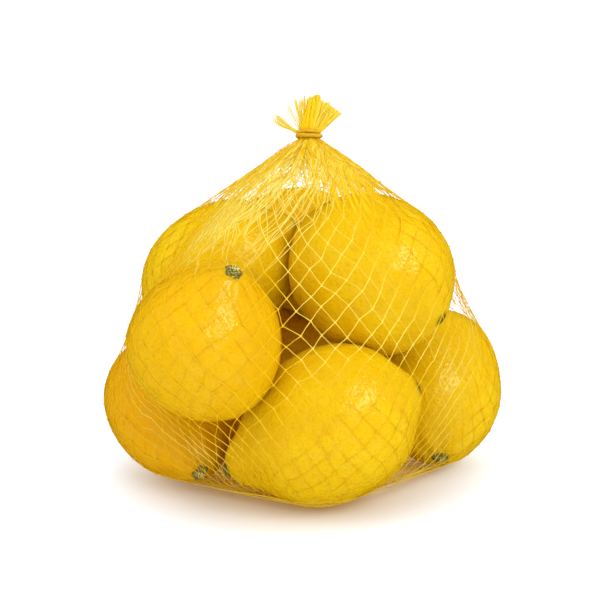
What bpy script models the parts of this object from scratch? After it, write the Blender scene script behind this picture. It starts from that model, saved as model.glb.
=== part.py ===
"""Net of lemons: a knitted net bag that holds eight lemons and is tied shut at its neck.

The model has two pieces. filled_net is one closed solid, out to the outline that the tight net takes
over the lemons, with its pleated neck and its tuft of cut net. neck_tie is the wire wound round the neck.

Metres, +Z up. The origin is the middle of the base, on the surface that the bag stands on, and the
bag's front faces -Y.
"""

import math
from dataclasses import dataclass

import bmesh
import bpy
import numpy as np
from mathutils import Euler, Vector

MM = 0.001

# How finely the solid is faceted.
SEGMENTS = 80
BODY_ROWS = 38
TUFT_ROWS = 8
DIRECTIONS = 6000

# The neck, where the net is gathered into a bundle, and the frame that leans with it.
NECK_X = 2.0 * MM
NECK_Y = -2.0 * MM
NECK_HEIGHT = 148.0 * MM
NECK_RADIUS = 3.4 * MM
NECK_LEAN = math.radians(15.0)
LEAN_DEPTH = 12.0 * MM

# The gathered net swells out into a rounded shoulder just under the tie.
SHOULDER_RADIUS = 6.8 * MM
SHOULDER_DROP = 1.6 * MM

# The net stands off the lemons by its own knots. A lemon is a little fuller than an ellipsoid, whose power
# would be 2, and its ends are drawn out into blunt tips.
NET_STANDOFF = 1.2 * MM
FULLNESS = 2.12
TIP_RADIUS = 6.0 * MM

# The net sags a little between lemons and lies in pleats below the neck.
SAG = 2.5 * MM
SAG_GAP = 5.0 * MM
PLEAT_DEPTH = 0.13
PLEAT_LENGTH = 32.0 * MM
PLEATS = ((9, 0.7, 0.6), (14, 2.1, 0.4))
SMALLEST_FACING = 1e-6
SHARP_ANGLE = math.radians(50.0)

# The tie: two turns of coated wire, the lower one wider.
WIRE_RADIUS = 0.85 * MM
TIE_GAP = 0.3 * MM
TURN_SPACING = 0.8 * (2.0 * WIRE_RADIUS)
TIE_HEIGHT = 2.0 * WIRE_RADIUS + TURN_SPACING
LOWER_TURN_EXTRA = 0.55 * MM
TIE_SEGMENTS = 40
WIRE_SEGMENTS = 10

# The tuft: the cut end of the net, spread in a fan above the tie.
TUFT_HEIGHT = 13.5 * MM
TUFT_HALF_WIDTH = 12.0 * MM
TUFT_HALF_DEPTH = 7.5 * MM
TUFT_SHIFT = 1.0 * MM
TUFT_LOBES = ((5, 0.4, 0.08), (9, 1.9, 0.06))
TUFT_FLARE = 0.85
TUFT_DROP = 0.4
TUFT_HOLLOW = 3.0 * MM


@dataclass(frozen=True)
class Lemon:
    """A lemon in the bag: an egg form, longer along its axis.

    x and y are its middle, lift is how high its lowest point is above the net's floor, heading and tilt
    turn its axis from +X, round +Z and then upwards. ahead and behind are how far the tips at the two ends
    stand out from the egg form. Lengths are in millimetres, angles in degrees.
    """

    x: float
    y: float
    lift: float
    heading: float
    tilt: float
    half_length: float
    half_width: float
    ahead: float
    behind: float

    def axis(self):
        """The unit vector along the lemon, towards the end that heading and tilt point at."""
        heading, tilt = math.radians(self.heading), math.radians(self.tilt)
        return np.array(
            [math.cos(heading) * math.cos(tilt), math.sin(heading) * math.cos(tilt), math.sin(tilt)]
        )

    def reach(self, directions):
        """How far the lemon reaches from its middle in each direction: its egg form or its tips."""
        along = directions @ self.axis()
        across = np.sqrt(np.maximum(1.0 - along**2, 0.0))
        length, width = self.half_length * MM, self.half_width * MM
        power = FULLNESS / (FULLNESS - 1.0)
        egg = ((length * np.abs(along)) ** power + (width * across) ** power) ** (1.0 / power)
        tip = np.where(along > 0.0, self.ahead, self.behind) * MM
        tips = (length + tip - TIP_RADIUS) * np.abs(along) + TIP_RADIUS
        return np.maximum(egg, tips)

    def middle(self):
        """The lemon's middle, which its lift and its own reach downwards set."""
        down = np.array([0.0, 0.0, -1.0])
        return np.array([self.x * MM, self.y * MM, NET_STANDOFF + self.lift * MM + self.reach(down)])

    def edge_distance(self, starts, headings):
        """Where level rays leave the lemon, measured from their starts; 0 for a ray that misses it."""
        axis = self.axis()
        length, width = self.half_length * MM, self.half_width * MM
        offset = starts - self.middle()

        def dot(a, b):
            stretch = 1.0 / length**2 - 1.0 / width**2
            return (a * b).sum(-1) / width**2 + stretch * (a @ axis) * (b @ axis)

        a, b, c = dot(headings, headings), dot(offset, headings), dot(offset, offset) - 1.0
        inside = b**2 - a * c
        return np.where(inside > 0.0, (-b + np.sqrt(np.maximum(inside, 0.0))) / a, 0.0)


LEMONS = (
    Lemon(x=9.4, y=-38.3, lift=0, heading=-2, tilt=25, half_length=37, half_width=31.3, ahead=4, behind=9.5),
    Lemon(x=57.4, y=26.9, lift=0, heading=93, tilt=41, half_length=36, half_width=30, ahead=5, behind=2.5),
    Lemon(x=-57, y=4.3, lift=0, heading=110, tilt=24, half_length=37, half_width=30, ahead=5, behind=7),
    Lemon(x=-10.9, y=47.5, lift=0, heading=9, tilt=-39, half_length=33.5, half_width=30.3, ahead=4, behind=1),
    Lemon(x=-40, y=-50, lift=37.3, heading=-25, tilt=66, half_length=29.5, half_width=30, ahead=3, behind=6),
    Lemon(x=28, y=-9, lift=57.4, heading=147, tilt=26, half_length=35.5, half_width=33, ahead=2, behind=1.5),
    Lemon(x=-37.1, y=8.4, lift=54.6, heading=7, tilt=34, half_length=37, half_width=31, ahead=5, behind=1),
    Lemon(x=5.4, y=51.5, lift=58.3, heading=-16, tilt=-30, half_length=36, half_width=27, ahead=4, behind=1),
)


def clear_scene():
    """Remove every object and collection of the file that the script runs in."""
    for item in list(bpy.data.objects):
        bpy.data.objects.remove(item, do_unlink=True)
    for group in list(bpy.data.collections):
        bpy.data.collections.remove(group)


def new_collection(name):
    """A collection of the scene."""
    group = bpy.data.collections.new(name)
    bpy.context.scene.collection.children.link(group)
    return group


def material(name, colour, roughness):
    """A plain Principled BSDF material."""
    made = bpy.data.materials.new(name)
    made.use_nodes = True
    shader = made.node_tree.nodes["Principled BSDF"]
    shader.inputs["Base Color"].default_value = (*colour, 1.0)
    shader.inputs["Roughness"].default_value = roughness
    shader.inputs["Metallic"].default_value = 0.0
    return made


def spread_directions(count):
    """Unit vectors spread evenly over the sphere, on a golden spiral, with straight down first."""
    step = np.arange(count) + 0.5
    height = 1.0 - 2.0 * step / count
    turn = math.pi * (1.0 + math.sqrt(5.0)) * step
    level = np.sqrt(1.0 - height**2)
    spiral = np.stack([level * np.cos(turn), level * np.sin(turn), height], axis=1)
    return np.vstack([[0.0, 0.0, -1.0], spiral])


def bag_reach(directions):
    """The furthest that the net over the lemons, the neck and its shoulder reach in each direction."""
    reaches = [directions @ lemon.middle() + lemon.reach(directions) + NET_STANDOFF for lemon in LEMONS]
    level = np.hypot(directions[:, 0], directions[:, 1])
    for radius, drop in ((NECK_RADIUS, 0.0), (SHOULDER_RADIUS, SHOULDER_DROP)):
        middle = np.array([NECK_X, NECK_Y, NECK_HEIGHT - drop])
        reaches.append(directions @ middle + radius * level)
    return np.max(reaches, axis=0)


def tight_radius(azimuths, heights):
    """Radius of the net pulled tight: the convex wrap round lemons and neck, row by row.

    Each direction gives a flat face that just touches what the bag holds. A level ray from the neck's
    upright axis ends at the nearest of the faces that it meets.
    """
    directions = spread_directions(DIRECTIONS)
    reach = bag_reach(directions) - directions[:, :2] @ np.array([NECK_X, NECK_Y])
    radius = np.empty((len(heights), len(azimuths)))
    for column, azimuth in enumerate(azimuths):
        facing = directions[:, 0] * math.cos(azimuth) + directions[:, 1] * math.sin(azimuth)
        met = facing > SMALLEST_FACING
        room = reach[met][None, :] - heights[:, None] * directions[met, 2][None, :]
        radius[:, column] = (room / facing[met]).min(axis=1)
    return radius


def lemon_radius(azimuths, heights):
    """Radius of the outermost lemon on each level ray from the neck's axis, 0 where none is met."""
    height, azimuth = np.meshgrid(heights, azimuths, indexing="ij")
    starts = np.stack([np.full_like(height, NECK_X), np.full_like(height, NECK_Y), height], axis=-1)
    headings = np.stack([np.cos(azimuth), np.sin(azimuth), np.zeros_like(azimuth)], axis=-1)
    return np.max([lemon.edge_distance(starts, headings) for lemon in LEMONS], axis=0)


def smoothed(grid):
    """The grid averaged with its neighbours round the bag and up it, with its end rows kept."""
    around = (np.roll(grid, 1, axis=1) + 2.0 * grid + np.roll(grid, -1, axis=1)) / 4.0
    result = grid.copy()
    result[1:-1] = (around[:-2] + 2.0 * around[1:-1] + around[2:]) / 4.0
    return result


def eased(share):
    """A share from 0 to 1 with a soft start and a soft end."""
    share = np.clip(share, 0.0, 1.0)
    return share * share * (3.0 - 2.0 * share)


def body_rows():
    """Rings of points up the bag, from its flat base to its neck."""
    azimuths = np.arange(SEGMENTS) * (2.0 * math.pi / SEGMENTS)
    heights = NECK_HEIGHT * (0.5 - 0.5 * np.cos(np.linspace(0.0, math.pi, BODY_ROWS)))
    radius = tight_radius(azimuths, heights)
    gap = radius - lemon_radius(azimuths, heights)
    below_neck = NECK_HEIGHT - heights
    held = eased(heights / (2.0 * PLEAT_LENGTH)) * eased(below_neck / PLEAT_LENGTH)
    sag = SAG * np.tanh(np.maximum(gap, 0.0) / SAG_GAP) * held[:, None]
    radius = smoothed(smoothed(radius - sag))
    pleats = sum(size * np.cos(count * azimuths + phase) for count, phase, size in PLEATS)
    share = eased(1.0 - below_neck / PLEAT_LENGTH) * eased(below_neck / LEAN_DEPTH)
    radius *= 1.0 + PLEAT_DEPTH * share[:, None] * pleats[None, :]
    x = radius * np.cos(azimuths)
    y = radius * np.sin(azimuths)
    lean = np.clip(1.0 - below_neck / LEAN_DEPTH, 0.0, 1.0) ** 2
    z = heights[:, None] - math.tan(NECK_LEAN) * lean[:, None] * y
    return np.stack([NECK_X + x, NECK_Y + y, z], axis=-1)


def leaning(points):
    """Points of the neck's own frame, whose Z runs up the leaning bundle, set in the bag's frame."""
    x, y, z = points[..., 0], points[..., 1], points[..., 2]
    cosine, sine = math.cos(NECK_LEAN), math.sin(NECK_LEAN)
    return np.stack(
        [NECK_X + x, NECK_Y + cosine * y + sine * z, NECK_HEIGHT - sine * y + cosine * z], axis=-1
    )


def tuft_rows():
    """Rings of points from the tie up the tuft's outside and down into its hollow top."""
    azimuths = np.arange(SEGMENTS) * (2.0 * math.pi / SEGMENTS)
    lobes = 1.0 + sum(size * np.cos(count * azimuths + phase) for count, phase, size in TUFT_LOBES)
    foot = TIE_HEIGHT + 2.0 * TIE_GAP
    top = TUFT_HEIGHT * lobes * (1.0 - TUFT_DROP * np.abs(np.cos(azimuths)))
    rows = []
    for share in np.linspace(0.0, 1.0, TUFT_ROWS):
        spread = share**TUFT_FLARE
        half_width = NECK_RADIUS + spread * (TUFT_HALF_WIDTH * lobes - NECK_RADIUS)
        half_depth = NECK_RADIUS + spread * (TUFT_HALF_DEPTH * lobes - NECK_RADIUS)
        x = half_width * np.cos(azimuths) + spread * TUFT_SHIFT
        rows.append(np.stack([x, half_depth * np.sin(azimuths), foot + share * top], axis=-1))
    rim = rows[-1]
    middle = np.array([TUFT_SHIFT, 0.0, rim[:, 2].mean() - TUFT_HOLLOW])
    halfway = (rim + middle) / 2.0
    halfway[:, 2] -= TUFT_HOLLOW / 4.0
    rows.append(halfway)
    return leaning(np.array(rows)), leaning(middle)


def lofted(name, rows, middle_top):
    """A closed mesh through rings of points: a flat face below, quads between, a fan on top."""
    mesh = bmesh.new()
    rings = [[mesh.verts.new(point) for point in row] for row in rows]
    mesh.faces.new(list(reversed(rings[0])))
    for lower, upper in zip(rings, rings[1:]):
        for k in range(SEGMENTS):
            after = (k + 1) % SEGMENTS
            mesh.faces.new((lower[k], lower[after], upper[after], upper[k]))
    tip = mesh.verts.new(middle_top)
    for k in range(SEGMENTS):
        mesh.faces.new((rings[-1][k], rings[-1][(k + 1) % SEGMENTS], tip))
    made = bpy.data.meshes.new(name)
    mesh.to_mesh(made)
    mesh.free()
    made.shade_smooth()
    made.set_sharp_from_angle(angle=SHARP_ANGLE)
    return bpy.data.objects.new(name, made)


def make_filled_net(group):
    """The bag with its lemons as one solid, from the flat it rests on to the tuft's hollow top."""
    tuft, middle_top = tuft_rows()
    net = lofted("filled_net", np.concatenate([body_rows(), tuft]), middle_top)
    net.data.materials.append(material("net_yellow", (0.91, 0.62, 0.03), 0.45))
    group.objects.link(net)
    return net


def wire_turn(name, bore_radius, height):
    """One turn of the tie's wire round the leaning neck, at a height above the neck's foot."""
    bpy.ops.mesh.primitive_torus_add(
        major_radius=bore_radius + WIRE_RADIUS,
        minor_radius=WIRE_RADIUS,
        major_segments=TIE_SEGMENTS,
        minor_segments=WIRE_SEGMENTS,
    )
    turn = bpy.context.object
    turn.name = name
    turn.rotation_euler = Euler((-NECK_LEAN, 0.0, 0.0))
    turn.location = Vector(leaning(np.array([0.0, 0.0, height])))
    for holder in list(turn.users_collection):
        holder.objects.unlink(turn)
    return turn


def make_neck_tie(group, cutters):
    """The tie: two turns of wire, one above the other and pressed together, joined as one solid."""
    bore = NECK_RADIUS + TIE_GAP
    first = TIE_GAP + WIRE_RADIUS
    tie = wire_turn("neck_tie", bore + LOWER_TURN_EXTRA, first)
    upper = wire_turn("upper_turn", bore, TIE_HEIGHT - WIRE_RADIUS)
    group.objects.link(tie)
    cutters.objects.link(upper)
    upper.hide_render = True
    upper.display_type = "WIRE"
    joined = tie.modifiers.new("upper_turn", "BOOLEAN")
    joined.operation = "UNION"
    joined.object = upper
    tie.data.shade_smooth()
    tie.data.materials.append(material("tie_yellow", (0.84, 0.48, 0.02), 0.35))
    return tie


def main():
    """Build the net of lemons."""
    clear_scene()
    group = new_collection("net_of_lemons")
    cutters = new_collection("cutters")
    make_filled_net(group)
    make_neck_tie(group, cutters)


main()
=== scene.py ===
"""A net of lemons: eight ripe lemons in a yellow net, gathered into a neck and tied with two turns of wire.

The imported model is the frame. Its filled net gives way to the lemons, their stem buttons and every strand
and knot of the net, and its tie to the same two turns of wire in finer detail. All lengths are in metres
unless a name or a docstring says millimetres, and +Z is up.
"""

from __future__ import annotations

import logging
import math
from dataclasses import dataclass, replace
from enum import Enum

import bpy
import numpy as np
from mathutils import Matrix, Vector


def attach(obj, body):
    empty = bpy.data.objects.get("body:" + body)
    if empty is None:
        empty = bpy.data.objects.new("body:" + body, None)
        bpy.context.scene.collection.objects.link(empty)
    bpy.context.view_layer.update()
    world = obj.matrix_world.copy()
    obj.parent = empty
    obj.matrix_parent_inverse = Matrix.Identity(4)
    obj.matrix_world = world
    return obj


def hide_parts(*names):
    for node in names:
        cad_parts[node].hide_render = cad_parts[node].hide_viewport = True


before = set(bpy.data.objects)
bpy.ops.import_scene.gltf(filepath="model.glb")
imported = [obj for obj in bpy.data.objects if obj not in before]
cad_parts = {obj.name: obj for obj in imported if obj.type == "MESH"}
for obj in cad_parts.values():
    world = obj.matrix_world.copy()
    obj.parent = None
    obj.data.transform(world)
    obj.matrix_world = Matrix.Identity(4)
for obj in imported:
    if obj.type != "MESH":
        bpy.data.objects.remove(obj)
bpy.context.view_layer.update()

LOG = logging.getLogger("net_of_lemons")
BODY = "root"
FILLED_NET = "filled_net"
NECK_TIE = "neck_tie"
MM = 0.001
TAU = 2 * math.pi
UP = np.array([0.0, 0.0, 1.0])


class Slot(Enum):
    """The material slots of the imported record."""

    STRAND = "net_strand"
    WIRE = "tie_wire"
    PEEL = "lemon_peel"
    STEM = "lemon_stem"


# ---------------------------------------------------------------------------------------------------------
# Shader nodes
# ---------------------------------------------------------------------------------------------------------


class Value:
    """A number carried by a shader socket. Sums written on it add Math nodes."""

    def __init__(self, shader: Shader, socket: bpy.types.NodeSocket) -> None:
        """Keep the shader that owns the socket, and the socket."""
        self.shader = shader
        self.socket = socket

    def math(self, operation: str, *operands: Value | float) -> Value:
        """Return the outcome of one Math node on the operands."""
        node = self.shader.node("ShaderNodeMath", {"operation": operation}, dict(enumerate(operands)))
        return Value(self.shader, node.outputs[0])

    def __add__(self, other: Value | float) -> Value:
        """Return the sum."""
        return self.math("ADD", self, other)

    def __sub__(self, other: Value | float) -> Value:
        """Return the difference."""
        return self.math("SUBTRACT", self, other)

    def __rsub__(self, other: Value | float) -> Value:
        """Return the difference, taken from the other number."""
        return self.math("SUBTRACT", other, self)

    def __mul__(self, other: Value | float) -> Value:
        """Return the product."""
        return self.math("MULTIPLY", self, other)

    def ramp(self, low: float, high: float, start: float = 0.0, end: float = 1.0) -> Value:
        """Return a smooth step from start, where this value is low, to end, where it is high."""
        settings = {"interpolation_type": "SMOOTHSTEP"}
        sockets = {"Value": self, "From Min": low, "From Max": high, "To Min": start, "To Max": end}
        return Value(self.shader, self.shader.node("ShaderNodeMapRange", settings, sockets).outputs[0])


class Shader:
    """One material, with its Principled shader and a way to add nodes before it."""

    def __init__(self, name: str) -> None:
        """Start a material of that name with only its Principled shader and its output.

        Where it glows, its light is only found by chance, so it puts no white shine on the peel.
        """
        self.material = bpy.data.materials.new(name)
        self.material.use_nodes = True
        self.material.cycles.emission_sampling = "NONE"
        self.tree = self.material.node_tree
        self.surface = self.tree.nodes["Principled BSDF"]
        self.place = self.node("ShaderNodeTexCoord", {}, {}).outputs["Object"]

    def node(self, kind: str, settings: dict, sockets: dict) -> bpy.types.Node:
        """Add one node.

        Args:
            kind: the node's type.
            settings: its properties, set before its sockets.
            sockets: a number, colour, Value or socket for each input's name or place.

        Returns:
            The new node.
        """
        node = self.tree.nodes.new(kind)
        for name, setting in settings.items():
            setattr(node, name, setting)
        self.fill(node, sockets)
        return node

    def fill(self, node: bpy.types.Node, sockets: dict) -> None:
        """Set or link a node's inputs by name or place."""
        for name, value in sockets.items():
            source = value.socket if isinstance(value, Value) else value
            if isinstance(source, bpy.types.NodeSocket):
                self.tree.links.new(source, node.inputs[name])
            else:
                node.inputs[name].default_value = source

    def mix(self, share: Value | float, first: object, second: object) -> bpy.types.NodeSocket:
        """Return a colour that goes from first to second as share goes from 0 to 1."""
        node = self.node("ShaderNodeMix", {"data_type": "RGBA"}, {0: share, 6: first, 7: second})
        return node.outputs[2]

    def noise(self, size: float, detail: float = 2.0, roughness: float = 0.5) -> Value:
        """Return cloudy noise from 0 to 1 whose blotches are about size metres across."""
        sockets = {"Vector": self.place, "Scale": 1 / size, "Detail": detail, "Roughness": roughness}
        return Value(self, self.node("ShaderNodeTexNoise", {}, sockets).outputs[0])

    def cells(self, size: float) -> Value:
        """Return the distance inside a smooth pattern of cells about size metres across, in cells."""
        sockets = {"Vector": self.place, "Scale": 1 / size, "Randomness": 1.0}
        node = self.node("ShaderNodeTexVoronoi", {"feature": "SMOOTH_F1"}, sockets)
        return Value(self, node.outputs["Distance"])

    def away(self) -> Value:
        """Return the distance from the piece's origin in metres."""
        node = self.node("ShaderNodeVectorMath", {"operation": "LENGTH"}, {0: self.place})
        return Value(self, node.outputs["Value"])

    def attribute(self, name: str) -> Value:
        """Return a number that the mesh holds at its points."""
        node = self.node("ShaderNodeAttribute", {"attribute_name": name}, {})
        return Value(self, node.outputs["Fac"])

    def bump(self, height: Value, depth: float, under: object = None) -> bpy.types.NodeSocket:
        """Return the normal of a surface raised by height times depth metres."""
        sockets = {"Strength": 1.0, "Distance": depth, "Height": height}
        if under is not None:
            sockets["Normal"] = under
        return self.node("ShaderNodeBump", {}, sockets).outputs[0]

    def dress(self, piece: bpy.types.Object, sockets: dict) -> None:
        """Set the Principled shader's sockets and give the material to the piece."""
        self.fill(self.surface, sockets)
        piece.data.materials.append(self.material)


@dataclass(frozen=True)
class PeelFinish:
    """Ripe lemon peel: waxy yellow, warmer on some, paler in clouds, deeper in pores, olive at the stem.

    Light goes a little way into it, red the furthest, which warms its shaded side. Some lemons' warmer
    yellow is partly their own tone and partly painted shade, and the deeper yellow in the pores is painted
    shade.
    """

    ripe: tuple = (0.75, 0.475, 0.002, 1)
    warm: tuple = (0.74, 0.365, 0.001, 1)
    pale: tuple = (0.79, 0.54, 0.005, 1)
    deep: tuple = (0.70, 0.34, 0.001, 1)
    green: tuple = (0.26, 0.22, 0.012, 1)
    scar: tuple = (0.07, 0.06, 0.010, 1)
    pore_size: float = 1.3 * MM
    pore_depth: float = 0.14 * MM
    dimple_size: float = 2.6 * MM
    dimple_depth: float = 0.16 * MM
    roughness: float = 0.2
    gloss: float = 0.55
    shine: tuple = (0.85, 1.0, 0.6, 1)
    glow: float = 0.3
    glow_reach: tuple = (1.0, 0.38, 0.08)
    glow_depth: float = 2.5 * MM

    def dress(self, piece: bpy.types.Object, warmth_and_shade: float) -> None:
        """Dress one lemon.

        Pores are the middles of two patterns of cells, small on large. The peel's own numbers for its stem
        end and its tip's scar give their places.

        Args:
            piece: the lemon.
            warmth_and_shade: how far its yellow goes from the plain one, at 0, to the warmest, at 1.
        """
        shader = Shader(f"peel_{piece.name}")
        clouds = shader.noise(16 * MM, 3.0).ramp(0.35, 0.7)
        specks = shader.noise(1.1 * MM, 1.0).ramp(0.55, 0.8)
        pits = shader.cells(self.pore_size).ramp(0.05, 0.5)
        dimples = shader.cells(self.dimple_size).ramp(0.0, 0.6)
        stem_end = shader.attribute("stem_end") * shader.noise(2 * MM).ramp(0.2, 0.7)
        colour = shader.mix(clouds * 0.8, self.ripe, self.pale)
        # Partly painted shade: a warmer yellow for lemons that sit in the bag's shade, partly their own tone.
        colour = shader.mix(warmth_and_shade, colour, self.warm)
        # Painted shade: the bottom of each pit gets the deeper yellow; the specks are the peel's own random
        # tone.
        colour = shader.mix((1 - pits) * 0.35 + specks * 0.12, colour, self.deep)
        colour = shader.mix(stem_end, colour, self.green)
        colour = shader.mix(shader.attribute("scar"), colour, self.scar)
        normal = shader.bump(dimples, self.dimple_depth)
        normal = shader.bump(pits, self.pore_depth, normal)
        rough = shader.noise(5 * MM).ramp(0.3, 0.7, self.roughness - 0.05, self.roughness + 0.06)
        shader.dress(piece, {"Base Color": colour, "Roughness": rough, "Normal": normal,
                             "Specular IOR Level": self.gloss, "Specular Tint": self.shine,
                             "Subsurface Weight": self.glow, "Subsurface Radius": self.glow_reach,
                             "Subsurface Scale": self.glow_depth})


@dataclass(frozen=True)
class StemFinish:
    """A dried stem button: olive and brown lobes round a corky cream scar."""

    olive: tuple = (0.075, 0.08, 0.005, 1)
    brown: tuple = (0.045, 0.028, 0.004, 1)
    cork: tuple = (0.80, 0.64, 0.20, 1)
    grain: float = 0.6 * MM
    depth: float = 0.15 * MM
    roughness: float = 0.8
    gloss: float = 0.05

    def dress(self, piece: bpy.types.Object) -> None:
        """Dress the stem buttons: the mesh's own number for the cork says where each scar is."""
        shader = Shader("stem_button")
        blotches = shader.noise(1.6 * MM, 3.0)
        grain = shader.noise(self.grain, 2.0, 0.7)
        lobes = shader.mix(blotches.ramp(0.4, 0.65), self.olive, self.brown)
        cork = (shader.attribute("cork") * 0.65 + 0.22) * grain.ramp(0.44, 0.56, 0.0, 1.4)
        colour = shader.mix(cork, lobes, self.cork)
        normal = shader.bump(grain, self.depth)
        shader.dress(piece, {"Base Color": colour, "Roughness": self.roughness, "Normal": normal,
                             "Specular IOR Level": self.gloss})


@dataclass(frozen=True)
class StrandFinish:
    """Extruded yellow net: glossy, amber where it lies thick, paler across the gaps as painted light.

    It glows a little: painted light that fills the shade between stacked strands, most in the folds. Folded
    net throws no hard shadow on what is under it, and its long folds and pleats no soft one.
    """

    pale: tuple = (0.82, 0.66, 0.10, 1)
    amber: tuple = (0.75, 0.44, 0.002, 1)
    shine: tuple = (1.0, 0.9, 0.5, 1)
    glow: float = 0.03
    gloss: float = 0.12
    streak: float = 0.9 * MM
    roughness: float = 0.34
    hard_shadow: bool = True
    soft_shadow: bool = True

    def dress(self, piece: bpy.types.Object) -> None:
        """Dress strands or knots: the mesh's own shade moves them between the two yellows."""
        shader = Shader(f"strand_{piece.name}")
        streaks = shader.noise(self.streak, 1.0)
        share = shader.attribute("shade") + (streaks - 0.5) * 0.5
        colour = shader.mix(share.ramp(0.0, 1.0), self.pale, self.amber)
        normal = shader.bump(streaks, 0.05 * MM)
        # Painted light: the emission of the strand's own colour fills the shade between strands.
        shader.dress(piece, {"Base Color": colour, "Roughness": self.roughness, "Normal": normal,
                             "Specular IOR Level": self.gloss, "Specular Tint": self.shine,
                             "Emission Color": colour, "Emission Strength": self.glow})
        piece.visible_shadow = self.hard_shadow
        piece.visible_diffuse = self.soft_shadow


# Painted light: folds, pleats and the tuft glow more, to fill the shade where strands lie stacked.
FOLDED = StrandFinish(pale=(0.72, 0.61, 0.13, 1), amber=(0.70, 0.47, 0.002, 1), glow=0.2, gloss=0.1,
                      hard_shadow=False)
THIN = replace(FOLDED, glow=0.1, soft_shadow=False)
SOLID = replace(THIN, pale=(0.72, 0.56, 0.06, 1), amber=(0.72, 0.455, 0.002, 1))
TUFTED = replace(SOLID, soft_shadow=True)


@dataclass(frozen=True)
class WireFinish:
    """The tie's soft plastic coat: smooth and golden, with faint rubs along it."""

    gold: tuple = (0.60, 0.32, 0.004, 1)
    worn: tuple = (0.72, 0.46, 0.012, 1)
    roughness: float = 0.3
    gloss: float = 0.3

    def dress(self, piece: bpy.types.Object) -> None:
        """Dress the wire."""
        shader = Shader("tie_wire_coat")
        rubs = shader.noise(1.4 * MM, 2.0)
        colour = shader.mix(rubs.ramp(0.45, 0.75), self.gold, self.worn)
        normal = shader.bump(shader.noise(0.8 * MM), 0.04 * MM)
        rough = rubs.ramp(0.3, 0.7, self.roughness, self.roughness + 0.15)
        shader.dress(piece, {"Base Color": colour, "Roughness": rough, "Normal": normal,
                             "Specular IOR Level": self.gloss})


# ---------------------------------------------------------------------------------------------------------
# Meshes
# ---------------------------------------------------------------------------------------------------------


def unit(vectors: np.ndarray) -> np.ndarray:
    """Return the vectors at length one."""
    return vectors / np.maximum(np.linalg.norm(vectors, axis=-1, keepdims=True), 1e-12)


def circle(radius: np.ndarray | float, turn: np.ndarray | float, height: np.ndarray | float) -> np.ndarray:
    """Return points round the third axis, from their radii, turns and heights."""
    return np.stack(np.broadcast_arrays(radius * np.cos(turn), radius * np.sin(turn), height), -1)


def ball(polar: np.ndarray, columns: int) -> np.ndarray:
    """Return unit directions on rings round the first axis, at angles from it, and then its two ends."""
    turn = TAU * np.arange(columns) / columns
    rings = np.roll(circle(np.sin(polar), turn, np.cos(polar)), 1, -1)
    return np.concatenate([rings.reshape(-1, 3), [[1.0, 0, 0], [-1.0, 0, 0]]])


def new_piece(name: str, points: np.ndarray, *faces: np.ndarray, **numbers: np.ndarray) -> bpy.types.Object:
    """Make a smooth mesh piece.

    Args:
        name: the piece's name.
        points: its points, in metres.
        faces: arrays of faces by point number, each array with one number of corners.
        numbers: a number for each point, kept on the mesh under its name.

    Returns:
        The piece, at the origin.
    """
    corners = np.concatenate([array.ravel() for array in faces]).astype(np.int32)
    counts = np.concatenate([np.full(len(array), array.shape[1]) for array in faces])
    starts = np.concatenate([[0], np.cumsum(counts)[:-1]]).astype(np.int32)
    mesh = bpy.data.meshes.new(name)
    mesh.vertices.add(len(points))
    mesh.vertices.foreach_set("co", np.ascontiguousarray(points, np.float32).ravel())
    mesh.loops.add(len(corners))
    mesh.loops.foreach_set("vertex_index", corners)
    mesh.polygons.add(len(counts))
    mesh.polygons.foreach_set("loop_start", starts)
    mesh.polygons.foreach_set("use_smooth", np.ones(len(counts), bool))
    mesh.update(calc_edges=True)
    for title, values in numbers.items():
        attribute = mesh.attributes.new(title, "FLOAT", "POINT")
        attribute.data.foreach_set("value", values.astype(np.float32).ravel())
    piece = bpy.data.objects.new(name, mesh)
    bpy.context.scene.collection.objects.link(piece)
    return piece


def grid_faces(rows: int, columns: int) -> np.ndarray:
    """Return the quads of a grid whose rows are closed rings, by point number."""
    row, column = np.meshgrid(np.arange(rows - 1), np.arange(columns), indexing="ij")
    across = (column + 1) % columns
    corners = (row * columns + column, row * columns + across,
               (row + 1) * columns + across, (row + 1) * columns + column)
    return np.stack(corners, -1).reshape(-1, 4)


def repeated(faces: np.ndarray, times: int, points: int) -> np.ndarray:
    """Return the faces of equal meshes that follow one another, each with that many points."""
    return (faces[None] + points * np.arange(times)[:, None, None]).reshape(-1, faces.shape[1])


def ball_faces(rows: int, columns: int, times: int = 1) -> tuple[np.ndarray, np.ndarray]:
    """Return the quads and end triangles of balls, each with its rings of points and then its two ends."""
    around = np.arange(columns)
    across = (around + 1) % columns
    end = np.full(columns, rows * columns)
    last = (rows - 1) * columns
    triangles = np.concatenate([np.stack([end, around, across], -1),
                                np.stack([end + 1, last + across, last + around], -1)])
    size = rows * columns + 2
    return repeated(grid_faces(rows, columns)[:, ::-1], times, size), repeated(triangles, times, size)


def stand_for(piece: bpy.types.Object, node: str) -> bpy.types.Object:
    """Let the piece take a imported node's place on the bag's one body, and return it."""
    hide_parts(node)
    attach(piece, BODY)
    return piece


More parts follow.
